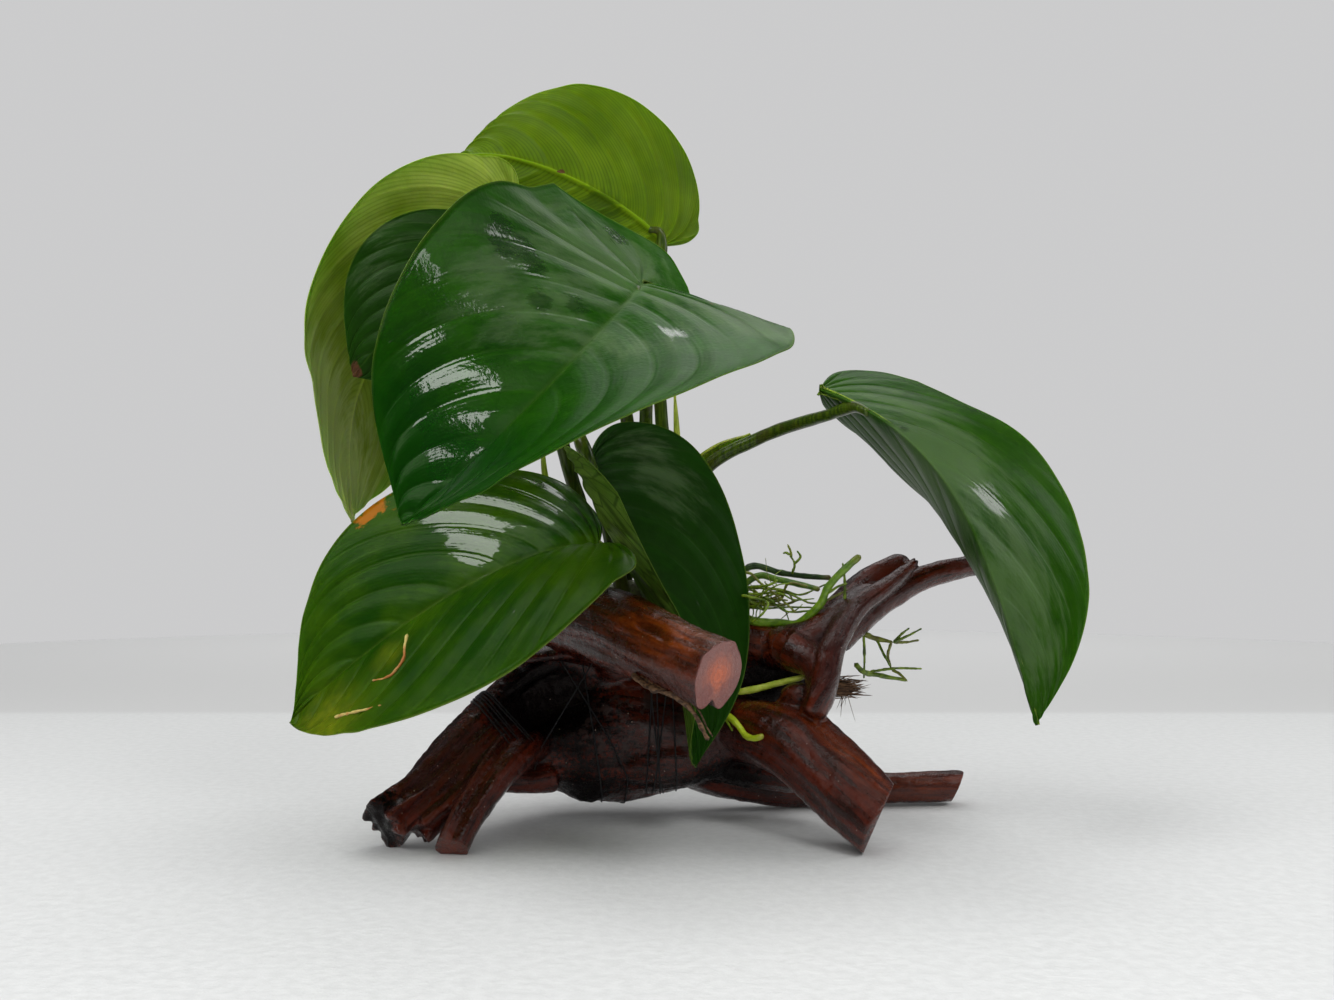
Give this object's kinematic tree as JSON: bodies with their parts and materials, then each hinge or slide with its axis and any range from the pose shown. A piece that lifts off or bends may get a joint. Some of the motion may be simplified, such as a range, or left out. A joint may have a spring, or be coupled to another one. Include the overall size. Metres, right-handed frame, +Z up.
{
  "type": "anubias on driftwood",
  "caption": "Broad-leaved water plant with heart-shaped leaves on long stalks, tied to a branching, leg-footed piece of wet driftwood.",
  "frame": {"origin": "on the floor, under the middle of the whole", "axes": "+Z up, -Y towards the side the picture shows, +X to its right"},
  "size_m": [0.2002, 0.1509, 0.212],
  "materials": {
    "leaf_dark": "wet gloss",
    "leaf_grass": "wet gloss",
    "leaf_bright": "satin",
    "stem_olive": "satin",
    "sheath_pale": "satin",
    "rhizome_brown": "matt",
    "wood_wet_red": "wet gloss",
    "wood_dark": "wet satin",
    "root_green": "satin",
    "thread_black": "matt"
  },
  "bodies": {
    "root": {"leaf_front_broad": "leaf_dark", "leaf_dark_behind": "leaf_dark", "leaf_hanging_centre": "leaf_dark", "leaf_right_arching": "leaf_dark", "leaf_low_left": "leaf_grass", "leaf_back_upper": "leaf_bright", "leaf_back_left": "leaf_bright", "stalk_front_broad": "stem_olive", "stalk_back_upper": "stem_olive", "stalk_dark_behind": "stem_olive", "stalk_back_left": "stem_olive", "stalk_low_left": "stem_olive", "stalk_hanging_centre": "stem_olive", "stalk_right_arching": "stem_olive", "sheath_right": "sheath_pale", "sheath_back": "sheath_pale", "sheath_left": "sheath_pale", "rhizome": "rhizome_brown", "trunk": "wood_dark", "flat_branch": "wood_dark", "bough": "wood_wet_red", "front_stub": "wood_wet_red", "outer_left_leg": "wood_wet_red", "inner_left_leg": "wood_wet_red", "right_leg": "wood_wet_red", "rear_log": "wood_wet_red", "twisted_fork": "wood_wet_red", "rear_stub": "wood_wet_red", "long_branch": "wood_wet_red", "root_bright": "root_green", "root_dark": "root_green", "root_upper": "root_green", "root_under": "root_green", "root_low": "root_green", "thread_left": "thread_black", "thread_right": "thread_black"}
  },
  "joints": []
}
